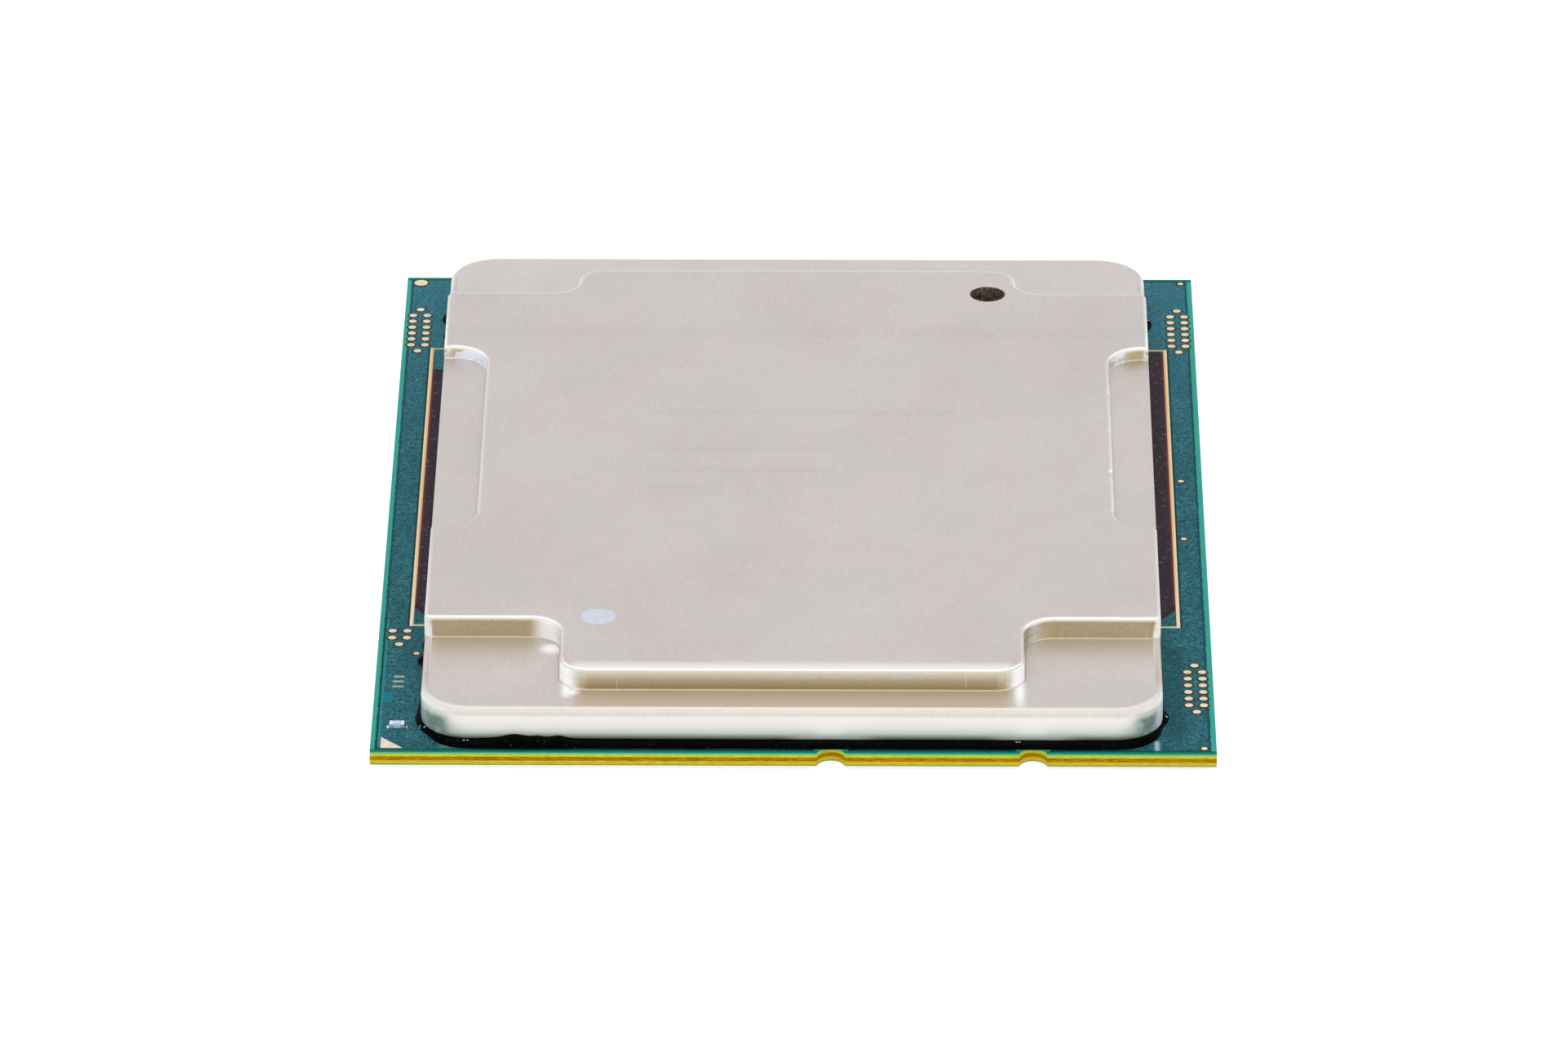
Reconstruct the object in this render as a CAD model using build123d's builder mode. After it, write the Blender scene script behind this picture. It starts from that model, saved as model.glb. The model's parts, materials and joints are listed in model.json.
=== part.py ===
from build123d import *
import math
import os

# A server processor in a land-grid package, in millimetres.
# The origin is under the centre of the package, level with the lowest face, which is
# the underside of the capacitors on the land side. +Z points out of the lid, +Y runs
# along the long side, and the edge with the two key notches faces -Y.

os.makedirs("parts", exist_ok=True)

# Package laminate
package_width = 56.5
package_length = 76.0
mask_thickness = 0.03
buildup_thickness = 0.30
core_thickness = 0.29
notch_radius = 0.94
notch_depth = 0.80
notch_centres_x = (2.5, 16.0)

# Small two-terminal capacitors: length, width, height, and the length of one terminal
capacitor_length = 1.0
capacitor_width = 0.5
capacitor_height = 0.36
terminal_length = 0.25
terminal_wrap = 0.015

# Levels, from the bottom up
mask_bottom_z = capacitor_height
buildup_bottom_z = mask_bottom_z + mask_thickness
core_z = buildup_bottom_z + buildup_thickness
buildup_top_z = core_z + core_thickness
mask_top_z = buildup_top_z + buildup_thickness
package_top_z = mask_top_z + mask_thickness

# Where the two groups of capacitors stand
land_side_columns = 6
land_side_rows = 9
land_side_pitch_x = 2.8
land_side_pitch_y = 3.4
die_side_rows = 13
die_side_x = 15.2
die_side_pitch = 2.4

# Land grid: a hexagonal field of contacts with a cavity in its middle
land_count = 3647
land_radius = 0.36
land_sides = 8
land_thickness = 0.02
land_pitch = 0.9906
land_row_pitch = 0.8585
land_rows = 86
lands_in_long_row = 55
cavity_rows = 40
cavity_columns = 13
corner_lands_missing = (3, 2)

# Die and what holds it
die_width = 21.6
die_length = 32.2
die_thickness = 0.775
bump_height = 0.07
bump_radius = 0.25
bump_columns = 10
bump_rows = 15
bump_pitch = 2.05
underfill_reach = 0.9
underfill_climb = 0.45
thermal_thickness = 0.08
thermal_margin = 0.5

# Lid, which sits a little to the left of the package's middle
lid_centre_x = -0.12
lid_width = 49.7
lid_front_y = -36.4
lid_back_y = 36.5
lid_corner_radius = 3.4
lid_edge_radius = 0.58
seal_gap = 0.15
step_height = 2.41
plateau_height = 3.95
plateau_edge_radius = 0.32
plateau_side_radius = 0.5
plateau_half_width = 15.6
plateau_front_y = -33.5
plateau_back_y = 30.95
shoulder_front_y = -25.55
shoulder_back_y = 27.1
inner_corner_radius = 2.1
outer_corner_radius = 2.0
back_corner_radius = 1.85
grip_inner_x = 21.9
grip_front_y = -11.35
grip_back_y = 17.75
grip_depth = 0.95
grip_corner_radius = 2.45
vent_x = 13.44
vent_y = 26.8
vent_radius = 1.25
cavity_width = 41.5
cavity_length = 63.0
cavity_corner_radius = 3.0
dot_x = -13.23
dot_y = -25.45
dot_radius = 1.18
dot_thickness = 0.01

same_place = 0.001

# Sealant under the lid's foot, squeezed out furthest along the front
seal_side_reach = 0.3
seal_front_reach = 0.95
seal_inset = 0.35

# Gold features in the top solder mask
pad_radius = 0.29
pad_pitch = 1.0
pad_group_rows = 6
back_left_group = (-27.15, 29.0)
back_right_group = (27.1, 29.1)
front_right_group = (27.05, -28.17)
front_left_places = [(-27.34, -19.7), (-26.34, -19.7), (-27.34, -20.75), (-26.34, -20.75), (-26.84, -21.75)]
small_pad_radius = 0.22
small_pad_places = [(26.77, 4.26), (26.77, -4.99), (27.43, -37.14), (27.47, 37.29), (-25.61, -23.16)]
fiducial_radius = 0.5
fiducial_place = (-27.27, 37.11)
outline_reach = 26.22
outline_hidden_x = 24.3
outline_line = 0.24
outline_front_y = -18.95
outline_back_y = 25.95
strip_gap = 0.04
strip_front_y = -15.5
strip_slant = 2.7
strip_back_y = {"left": 22.4, "right": 25.6}
triangle_corner = (-27.56, -37.41)
triangle_length = 1.5
triangle_height = 1.63

# Corner chip
chip_place = (-26.54, -34.25)
fillet_reach = 0.2
fillet_climb = 0.25

lid_foot_z = package_top_z + seal_gap
step_z = package_top_z + step_height
plateau_z = package_top_z + plateau_height
die_z = package_top_z + bump_height
thermal_z = die_z + die_thickness
ceiling_z = thermal_z + thermal_thickness


# ---------------------------------------------------------------- package laminate

def laminate_layer(bottom_z, thickness):
    """One full-size layer of the package, with the key notches cut in its front edge."""
    notch_y = -package_length / 2 + notch_depth - notch_radius
    with BuildPart() as layer:
        with BuildSketch(Plane.XY.offset(bottom_z)):
            Rectangle(package_width, package_length)
            with Locations(*[(x, notch_y) for x in notch_centres_x]):
                Circle(notch_radius, mode=Mode.SUBTRACT)
        extrude(amount=thickness)
    return layer


package_core = laminate_layer(core_z, core_thickness)
package_core.part.label = "package_core"
export_step(package_core.part, "parts/package_core.step")

buildup_top = laminate_layer(buildup_top_z, buildup_thickness)
buildup_top.part.label = "buildup_top"
export_step(buildup_top.part, "parts/buildup_top.step")

buildup_bottom = laminate_layer(buildup_bottom_z, buildup_thickness)
buildup_bottom.part.label = "buildup_bottom"
export_step(buildup_bottom.part, "parts/buildup_bottom.step")

solder_mask_bottom = laminate_layer(mask_bottom_z, mask_thickness)
solder_mask_bottom.part.label = "solder_mask_bottom"
export_step(solder_mask_bottom.part, "parts/solder_mask_bottom.step")


# ---------------------------------------------------------------- gold features on top

def round_pads(places, radius):
    """Flat round pads that fill openings in the top solder mask."""
    with BuildPart() as pads:
        with BuildSketch(Plane.XY.offset(mask_top_z)):
            with Locations(*places):
                Circle(radius)
        extrude(amount=mask_thickness)
    return pads


def long_pad_group(centre):
    """Places of two columns of pads, with a single pad closing each end."""
    centre_x, centre_y = centre
    half_height = (pad_group_rows + 1) / 2 * pad_pitch
    columns = [
        (centre_x + side * pad_pitch / 2, centre_y + (row - (pad_group_rows - 1) / 2) * pad_pitch)
        for side in (-1, 1)
        for row in range(pad_group_rows)
    ]
    return columns + [(centre_x, centre_y - half_height), (centre_x, centre_y + half_height)]


pad_groups = {
    "test_pads_back_left": (long_pad_group(back_left_group), pad_radius),
    "test_pads_back_right": (long_pad_group(back_right_group), pad_radius),
    "test_pads_front_right": (long_pad_group(front_right_group), pad_radius),
    "test_pads_front_left": (front_left_places, pad_radius),
    "edge_pads": (small_pad_places, small_pad_radius),
    "fiducial_mark": ([fiducial_place], fiducial_radius),
}

mask_openings = []
for name, (places, radius) in pad_groups.items():
    pads = round_pads(places, radius)
    pads.part.label = name
    export_step(pads.part, f"parts/{name}.step")
    mask_openings.append(pads.part)

with BuildPart() as pin_one_triangle:
    with BuildSketch(Plane.XY.offset(mask_top_z)):
        with BuildLine():
            corner_x, corner_y = triangle_corner
            Polyline(
                (corner_x, corner_y),
                (corner_x + triangle_length, corner_y),
                (corner_x, corner_y + triangle_height),
                close=True,
            )
        make_face()
    extrude(amount=mask_thickness)
pin_one_triangle.part.label = "pin_one_triangle"
export_step(pin_one_triangle.part, "parts/pin_one_triangle.step")
mask_openings.append(pin_one_triangle.part)

# A gold line frames the lid's edge on each side; its ends run in under the lid.
outline_centre_x = (outline_reach + outline_hidden_x) / 2
outline_centre_y = (outline_front_y + outline_back_y) / 2
outline_width = outline_reach - outline_hidden_x
outline_length = outline_back_y - outline_front_y
strip_outer_x = outline_reach - outline_line - strip_gap

for side, side_name in ((-1, "left"), (1, "right")):
    with BuildPart() as outline_trace:
        with BuildSketch(Plane.XY.offset(mask_top_z)):
            with Locations((side * outline_centre_x, outline_centre_y)):
                Rectangle(outline_width, outline_length)
            with Locations((side * (outline_centre_x - outline_line), outline_centre_y)):
                Rectangle(outline_width, outline_length - 2 * outline_line, mode=Mode.SUBTRACT)
        extrude(amount=mask_thickness)
    outline_trace.part.label = f"outline_trace_{side_name}"
    export_step(outline_trace.part, f"parts/outline_trace_{side_name}.step")
    mask_openings.append(outline_trace.part)

    with BuildPart() as dark_strip:
        with BuildSketch(Plane.XY.offset(mask_top_z)):
            with BuildLine():
                Polyline(
                    (side * strip_outer_x, strip_front_y),
                    (side * strip_outer_x, strip_back_y[side_name]),
                    (side * outline_hidden_x, strip_back_y[side_name]),
                    (side * outline_hidden_x, strip_front_y - strip_slant),
                    close=True,
                )
            make_face()
        extrude(amount=mask_thickness)
    dark_strip.part.label = f"dark_strip_{side_name}"
    export_step(dark_strip.part, f"parts/dark_strip_{side_name}.step")
    mask_openings.append(dark_strip.part)

mask_layer = laminate_layer(mask_top_z, mask_thickness)
with BuildPart() as solder_mask_top:
    add(mask_layer.part)
    add(mask_openings, mode=Mode.SUBTRACT)
solder_mask_top.part.label = "solder_mask_top"
export_step(solder_mask_top.part, "parts/solder_mask_top.step")


# ---------------------------------------------------------------- land grid

def land_places():
    """Centres of the contacts: staggered rows, less the middle cavity and the corner lands."""
    places = []
    first_cavity_row = (land_rows - cavity_rows) // 2
    for row in range(land_rows):
        count = lands_in_long_row - row % 2
        in_cavity = first_cavity_row <= row < first_cavity_row + cavity_rows
        from_end = min(row, land_rows - 1 - row)
        missing = corner_lands_missing[from_end] if from_end < len(corner_lands_missing) else 0
        for column in range(missing, count - missing):
            offset = column - (count - 1) / 2
            if in_cavity and abs(offset) < cavity_columns:
                continue
            places.append((offset * land_pitch, (row - (land_rows - 1) / 2) * land_row_pitch))
    return places


with BuildPart() as land:
    with BuildSketch(Plane.XY.offset(mask_bottom_z - land_thickness)):
        RegularPolygon(land_radius, land_sides, rotation=180 / land_sides)
    extrude(amount=land_thickness)

# The contacts are copies of one land, in two fields that meet at the package's middle.
all_lands = land_places()
if len(all_lands) != land_count:
    raise ValueError(f"the land grid has {len(all_lands)} lands, not {land_count}")
for field_name, field_places in (
    ("land_field_front", [place for place in all_lands if place[1] < 0]),
    ("land_field_back", [place for place in all_lands if place[1] > 0]),
):
    copies = [land.part.solid().moved(Location((x, y, 0))) for x, y in field_places]
    land_field = Compound(children=copies, label=field_name)
    export_step(land_field, f"parts/{field_name}.step")


# ---------------------------------------------------------------- capacitors

def capacitor_bodies(places, board_z, up, along_y):
    """Ceramic middles of the capacitors, a little narrower than the terminals."""
    length = capacitor_length - 2 * terminal_length
    width = capacitor_width - 2 * terminal_wrap
    size = (width, length) if along_y else (length, width)
    with BuildPart() as bodies:
        with BuildSketch(Plane.XY.offset(board_z)):
            with Locations(*places):
                Rectangle(*size)
        extrude(amount=up * capacitor_height)
    return bodies


def capacitor_terminals(places, board_z, up, along_y):
    """Metal end caps of the capacitors, two to each."""
    reach = (capacitor_length - terminal_length) / 2
    size = (capacitor_width, terminal_length) if along_y else (terminal_length, capacitor_width)
    step = (0, reach) if along_y else (reach, 0)
    ends = [(x + sign * step[0], y + sign * step[1]) for x, y in places for sign in (-1, 1)]
    with BuildPart() as terminals:
        with BuildSketch(Plane.XY.offset(board_z)):
            with Locations(*ends):
                Rectangle(*size)
        extrude(amount=up * capacitor_height)
    return terminals


# Land side: a block of capacitors in the cavity of the land grid
land_side_places = [
    (
        (column - (land_side_columns - 1) / 2) * land_side_pitch_x,
        (row - (land_side_rows - 1) / 2) * land_side_pitch_y,
    )
    for column in range(land_side_columns)
    for row in range(land_side_rows)
]
# Die side: a row of capacitors along each long side of the die
die_side_places = [
    (side * die_side_x, (row - (die_side_rows - 1) / 2) * die_side_pitch)
    for side in (-1, 1)
    for row in range(die_side_rows)
]

for group_name, places, board_z, up in (
    ("land_side", land_side_places, mask_bottom_z, -1),
    ("die_side", die_side_places, package_top_z, 1),
):
    bodies = capacitor_bodies(places, board_z, up, along_y=True)
    bodies.part.label = f"{group_name}_capacitor_bodies"
    export_step(bodies.part, f"parts/{group_name}_capacitor_bodies.step")
    terminals = capacitor_terminals(places, board_z, up, along_y=True)
    terminals.part.label = f"{group_name}_capacitor_terminals"
    export_step(terminals.part, f"parts/{group_name}_capacitor_terminals.step")

# The corner chip stands near the pin-one triangle, with a solder fillet at each end.
corner_chip_body = capacitor_bodies([chip_place], package_top_z, 1, along_y=False)
corner_chip_body.part.label = "corner_chip_body"
export_step(corner_chip_body.part, "parts/corner_chip_body.step")

corner_chip_terminals = capacitor_terminals([chip_place], package_top_z, 1, along_y=False)
corner_chip_terminals.part.label = "corner_chip_terminals"
export_step(corner_chip_terminals.part, "parts/corner_chip_terminals.step")

chip_x, chip_y = chip_place
with BuildPart() as corner_chip_solder:
    with BuildSketch(Plane.XZ.offset(-chip_y)):
        for end in (-1, 1):
            chip_end_x = chip_x + end * capacitor_length / 2
            with BuildLine():
                Polyline(
                    (chip_end_x, package_top_z),
                    (chip_end_x + end * fillet_reach, package_top_z),
                    (chip_end_x, package_top_z + fillet_climb),
                    close=True,
                )
            make_face()
    extrude(amount=capacitor_width / 2, both=True)
corner_chip_solder.part.label = "corner_chip_solder"
export_step(corner_chip_solder.part, "parts/corner_chip_solder.step")


# ---------------------------------------------------------------- die

with BuildPart() as silicon_die:
    with BuildSketch(Plane.XY.offset(die_z)):
        Rectangle(die_width, die_length)
    extrude(amount=die_thickness)
silicon_die.part.label = "silicon_die"
export_step(silicon_die.part, "parts/silicon_die.step")

with BuildPart() as die_bumps:
    with BuildSketch(Plane.XY.offset(package_top_z)):
        with GridLocations(bump_pitch, bump_pitch, bump_columns, bump_rows):
            Circle(bump_radius)
    extrude(amount=bump_height)
die_bumps.part.label = "die_bumps"
export_step(die_bumps.part, "parts/die_bumps.step")

with BuildPart() as die_underfill:
    with BuildSketch(Plane.XY.offset(package_top_z)):
        Rectangle(die_width + 2 * underfill_reach, die_length + 2 * underfill_reach)
    with BuildSketch(Plane.XY.offset(package_top_z + underfill_climb)):
        Rectangle(die_width + 2 * mask_thickness, die_length + 2 * mask_thickness)
    loft()
    add(silicon_die.part, mode=Mode.SUBTRACT)
    add(die_bumps.part, mode=Mode.SUBTRACT)
die_underfill.part.label = "die_underfill"
export_step(die_underfill.part, "parts/die_underfill.step")

with BuildPart() as thermal_interface:
    with BuildSketch(Plane.XY.offset(thermal_z)):
        Rectangle(die_width + 2 * thermal_margin, die_length + 2 * thermal_margin)
    extrude(amount=thermal_thickness)
thermal_interface.part.label = "thermal_interface"
export_step(thermal_interface.part, "parts/thermal_interface.step")


# ---------------------------------------------------------------- lid

def lid_plane(height):
    """A level plane centred on the lid's width."""
    return Plane((lid_centre_x, 0, height))


def plateau_corners(sketch, half_width, y):
    """The sketch's two corners at half_width each side of the lid's centre."""
    return [
        vertex
        for vertex in sketch.vertices()
        if math.dist((abs(vertex.X), vertex.Y), (half_width, y)) < same_place
    ]


lid_length = lid_back_y - lid_front_y
lid_centre_y = (lid_front_y + lid_back_y) / 2
plateau_roundings = (
    (lid_width / 2, shoulder_front_y, plateau_side_radius),
    (lid_width / 2, shoulder_back_y, plateau_side_radius),
    (plateau_half_width, shoulder_front_y, inner_corner_radius),
    (plateau_half_width, plateau_front_y, outer_corner_radius),
    (plateau_half_width, shoulder_back_y, back_corner_radius),
    (plateau_half_width, plateau_back_y, back_corner_radius),
)

with BuildPart() as heat_spreader:
    # Flange: the full outline, rounded along its upper edge
    with BuildSketch(lid_plane(lid_foot_z)):
        with Locations((0, lid_centre_y)):
            RectangleRounded(lid_width, lid_length, lid_corner_radius)
    extrude(amount=step_z - lid_foot_z)
    fillet(edges().group_by(Axis.Z)[-1], lid_edge_radius)

    # Plateau: full width between the shoulders, narrower towards both ends
    with BuildSketch(lid_plane(lid_foot_z)) as plateau:
        with Locations((0, (shoulder_front_y + shoulder_back_y) / 2)):
            Rectangle(lid_width, shoulder_back_y - shoulder_front_y)
        with Locations((0, (plateau_front_y + plateau_back_y) / 2)):
            Rectangle(2 * plateau_half_width, plateau_back_y - plateau_front_y)
        for half_width, y, radius in plateau_roundings:
            fillet(plateau_corners(plateau, half_width, y), radius)
    extrude(amount=plateau_z - lid_foot_z)

    # Grip recesses, open to the sides, at equal distances from the package's middle
    with BuildSketch(Plane.XY.offset(plateau_z)):
        with Locations(
            (-lid_width / 2, (grip_front_y + grip_back_y) / 2),
            (lid_width / 2, (grip_front_y + grip_back_y) / 2),
        ):
            RectangleRounded(
                lid_width - 2 * grip_inner_x, grip_back_y - grip_front_y, grip_corner_radius)
    extrude(amount=-grip_depth, mode=Mode.SUBTRACT)
    fillet(edges().group_by(Axis.Z)[-1], plateau_edge_radius)

    # Cavity over the die, closed by the package, and the vent that opens into it
    with BuildSketch(lid_plane(lid_foot_z)):
        with Locations((0, lid_centre_y)):
            RectangleRounded(cavity_width, cavity_length, cavity_corner_radius)
    extrude(amount=ceiling_z - lid_foot_z, mode=Mode.SUBTRACT)
    with Locations((vent_x, vent_y, plateau_z)):
        Hole(vent_radius)

    # Shallow spot that the paint fills
    with BuildSketch(Plane.XY.offset(plateau_z)):
        with Locations((dot_x, dot_y)):
            Circle(dot_radius)
    extrude(amount=-dot_thickness, mode=Mode.SUBTRACT)
heat_spreader.part.label = "heat_spreader"
export_step(heat_spreader.part, "parts/heat_spreader.step")

with BuildPart() as lid_sealant:
    with BuildSketch(lid_plane(package_top_z)):
        with Locations((0, lid_centre_y - (seal_front_reach - seal_side_reach) / 2)):
            RectangleRounded(
                lid_width + 2 * seal_side_reach,
                lid_length + seal_side_reach + seal_front_reach,
                lid_corner_radius + seal_side_reach,
            )
        with Locations((0, lid_centre_y)):
            RectangleRounded(
                cavity_width + 2 * seal_inset,
                cavity_length + 2 * seal_inset,
                cavity_corner_radius + seal_inset,
                mode=Mode.SUBTRACT,
            )
    extrude(amount=seal_gap)
lid_sealant.part.label = "lid_sealant"
export_step(lid_sealant.part, "parts/lid_sealant.step")

with BuildPart() as paint_dot:
    with BuildSketch(Plane.XY.offset(plateau_z - dot_thickness)):
        with Locations((dot_x, dot_y)):
            Circle(dot_radius)
    extrude(amount=dot_thickness)
paint_dot.part.label = "paint_dot"
export_step(paint_dot.part, "parts/paint_dot.step")
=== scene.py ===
import json
import math

import bmesh
import bpy
from mathutils import Matrix, Vector, noise


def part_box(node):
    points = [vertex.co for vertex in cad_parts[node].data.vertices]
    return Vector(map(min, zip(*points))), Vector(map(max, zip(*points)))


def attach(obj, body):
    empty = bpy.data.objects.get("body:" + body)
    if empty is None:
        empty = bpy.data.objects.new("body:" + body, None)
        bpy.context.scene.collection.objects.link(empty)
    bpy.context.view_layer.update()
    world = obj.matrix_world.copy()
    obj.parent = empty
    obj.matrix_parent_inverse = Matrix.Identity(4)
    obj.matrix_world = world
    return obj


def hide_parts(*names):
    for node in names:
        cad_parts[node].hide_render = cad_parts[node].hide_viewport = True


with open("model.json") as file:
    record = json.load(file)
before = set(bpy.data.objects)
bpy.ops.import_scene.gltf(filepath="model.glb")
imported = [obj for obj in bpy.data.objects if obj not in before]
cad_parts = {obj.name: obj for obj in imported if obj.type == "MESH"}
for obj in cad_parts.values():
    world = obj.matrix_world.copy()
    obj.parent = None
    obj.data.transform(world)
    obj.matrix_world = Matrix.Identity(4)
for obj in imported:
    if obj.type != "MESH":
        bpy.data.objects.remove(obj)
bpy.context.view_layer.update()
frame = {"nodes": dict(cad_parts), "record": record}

MM = 0.001
NODES = frame["nodes"]

# ---------------------------------------------------------------- camera and light

# The view, worked out from the package's four corners
VIEW_TARGET = Vector((-0.86, -0.59, 0.36)) * MM
VIEW_AZIMUTH = math.radians(0.379)
VIEW_ELEVATION = math.radians(25.714)
VIEW_DISTANCE = 864.5 * MM
LENS = 286.0

FLOOR_SIZE = 6.0
FLOOR_COLOUR = (0.42, 0.42, 0.42)
FLOOR_GLOW = 0.82

# The studio's light from behind the object, over it, to the camera's side: share of a half turn, colour.
# To the sides it fades into STUDIO_SIDES, as a direction's X goes from STUDIO_SIDES_FROM to STUDIO_SIDES_TO.
STUDIO_ARC = (
    (0.00, (0.93, 0.93, 0.96)),
    (0.22, (0.93, 0.93, 0.96)),
    (0.38, (1.08, 1.08, 1.10)),
    (0.55, (1.14, 1.14, 1.14)),
    (0.72, (1.16, 1.15, 1.13)),
    (0.82, (1.19, 1.17, 1.09)),
    (1.00, (1.20, 1.18, 1.08)))
STUDIO_SIDES = (1.30, 1.42, 1.50)
STUDIO_SIDES_FROM, STUDIO_SIDES_TO = 0.35, 0.75
SOFTBOX_PLACE = (0.0, -0.34, 0.84)
SOFTBOX_SIZE = 1.2
SOFTBOX_POWER = 1.0


def add_camera():
    data = bpy.data.cameras.new("camera")
    data.sensor_width = 36
    data.lens = LENS
    data.clip_start = 0.01
    camera = bpy.data.objects.new("camera", data)
    outward = Vector((
        math.sin(VIEW_AZIMUTH) * math.cos(VIEW_ELEVATION),
        -math.cos(VIEW_AZIMUTH) * math.cos(VIEW_ELEVATION),
        math.sin(VIEW_ELEVATION)))
    camera.location = VIEW_TARGET + outward * VIEW_DISTANCE
    camera.rotation_euler = (-outward).to_track_quat("-Z", "Y").to_euler()
    bpy.context.scene.collection.objects.link(camera)
    bpy.context.scene.camera = camera


def add_world():
    world = bpy.data.worlds.new("studio")
    bpy.context.scene.world = world
    world.use_nodes = True
    tree = world.node_tree
    tree.nodes.clear()
    output = tree.nodes.new("ShaderNodeOutputWorld")
    light = tree.nodes.new("ShaderNodeBackground")
    direction = tree.nodes.new("ShaderNodeTexCoord")
    parts = tree.nodes.new("ShaderNodeSeparateXYZ")
    tree.links.new(direction.outputs["Generated"], parts.inputs[0])

    turn = tree.nodes.new("ShaderNodeMath")
    turn.operation = "ARCTAN2"
    tree.links.new(parts.outputs["Z"], turn.inputs[0])
    tree.links.new(parts.outputs["Y"], turn.inputs[1])
    share = tree.nodes.new("ShaderNodeMath")
    share.operation = "DIVIDE"
    tree.links.new(turn.outputs[0], share.inputs[0])
    share.inputs[1].default_value = math.pi
    arc = tree.nodes.new("ShaderNodeValToRGB")
    tree.links.new(share.outputs[0], arc.inputs[0])
    stops = arc.color_ramp.elements
    while len(stops) < len(STUDIO_ARC):
        stops.new(0.5)
    for stop, (position, colour) in zip(stops, STUDIO_ARC):
        stop.position = position
        stop.color = (*colour, 1)

    sideways = tree.nodes.new("ShaderNodeMath")
    sideways.operation = "ABSOLUTE"
    tree.links.new(parts.outputs["X"], sideways.inputs[0])
    edge = tree.nodes.new("ShaderNodeMapRange")
    edge.interpolation_type = "SMOOTHSTEP"
    tree.links.new(sideways.outputs[0], edge.inputs[0])
    edge.inputs[1].default_value = STUDIO_SIDES_FROM
    edge.inputs[2].default_value = STUDIO_SIDES_TO
    colour = tree.nodes.new("ShaderNodeMix")
    colour.data_type = "RGBA"
    tree.links.new(edge.outputs[0], colour.inputs[0])
    tree.links.new(arc.outputs[0], colour.inputs[6])
    colour.inputs[7].default_value = (*STUDIO_SIDES, 1)
    tree.links.new(colour.outputs[2], light.inputs["Color"])
    tree.links.new(light.outputs[0], output.inputs[0])


def add_floor():
    bm = bmesh.new()
    bmesh.ops.create_grid(bm, x_segments=2, y_segments=2, size=FLOOR_SIZE / 2)
    mesh = bpy.data.meshes.new("floor")
    bm.to_mesh(mesh)
    bm.free()
    floor = bpy.data.objects.new("floor", mesh)
    bpy.context.scene.collection.objects.link(floor)
    paint = Paint("floor_white", Roughness=0.9, Specular_IOR_Level=0.1)
    paint.set(Base_Color=FLOOR_COLOUR, Emission_Color=(1.0, 1.0, 1.0), Emission_Strength=FLOOR_GLOW)
    mesh.materials.append(paint.material)


def add_softbox():
    data = bpy.data.lights.new("front_softbox", "AREA")
    data.shape = "SQUARE"
    data.size = SOFTBOX_SIZE
    data.energy = SOFTBOX_POWER
    lamp = bpy.data.objects.new("front_softbox", data)
    lamp.location = SOFTBOX_PLACE
    lamp.rotation_euler = (-Vector(SOFTBOX_PLACE)).to_track_quat("-Z", "Y").to_euler()
    bpy.context.scene.collection.objects.link(lamp)


# ---------------------------------------------------------------- materials

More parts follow.
